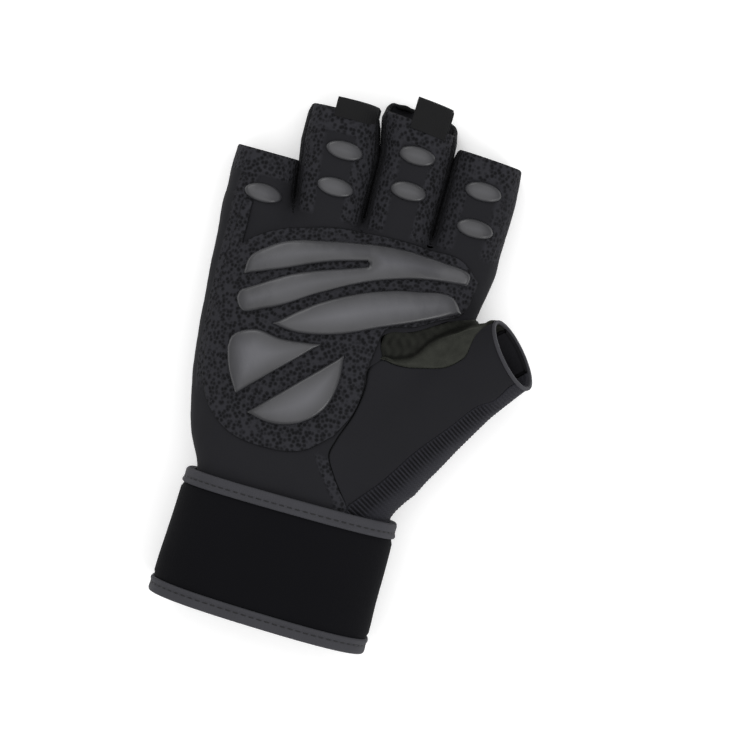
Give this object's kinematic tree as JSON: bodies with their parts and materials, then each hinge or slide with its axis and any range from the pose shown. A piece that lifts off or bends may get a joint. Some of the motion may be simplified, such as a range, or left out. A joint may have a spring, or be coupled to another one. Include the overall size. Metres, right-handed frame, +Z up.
{
  "type": "fingerless weightlifting glove with wrist wrap",
  "caption": "Right-hand fingerless training glove with rubber palm pads and finger grips, thumb stall, pull tabs and a wide wrist wrap.",
  "frame": {"origin": "middle of the underside's box, on the surface the glove lies on", "axes": "+Z up out of the palm, +Y from the wrist to the fingers, +X towards the thumb"},
  "size_m": [0.129, 0.2024, 0.0441],
  "materials": {
    "microfibre": "matte brushed microfibre suede cloth",
    "embossed_microfibre": "microfibre embossed with small pits",
    "rib_knit": "stretch knit with cross ribs",
    "suede": "napped synthetic suede",
    "pad_rubber": "moulded grey rubber, semi-matt",
    "neoprene": "knit-faced foam, deep matt black",
    "binding_tape": "woven edge binding with a stitch line",
    "tab_tape": "plain woven tape"
  },
  "bodies": {
    "root": {"palm_panel": "microfibre", "back_panel": "microfibre", "side_strip_pinky_ring": "embossed_microfibre", "side_strip_ring_middle": "embossed_microfibre", "side_strip_middle_index": "embossed_microfibre", "thumb_panel": "microfibre", "thumb_gusset": "rib_knit", "thumb_back": "microfibre", "thumb_web_patch": "suede", "thumb_binding": "binding_tape", "palm_overlay": "embossed_microfibre", "pad_knuckle": "pad_rubber", "pad_crescent": "pad_rubber", "pad_heel_outer": "pad_rubber", "pad_heel_inner": "pad_rubber", "grip_pinky": "pad_rubber", "grip_ring_tip": "pad_rubber", "grip_ring_base": "pad_rubber", "grip_middle_tip": "pad_rubber", "grip_middle_base": "pad_rubber", "grip_index_tip": "pad_rubber", "grip_index_base": "pad_rubber", "pull_tab_ring": "tab_tape", "pull_tab_middle": "tab_tape", "wrist_wrap": "neoprene", "wrap_binding_upper": "binding_tape", "wrap_binding_lower": "binding_tape", "wrap_closing_flap": "neoprene"}
  },
  "joints": []
}
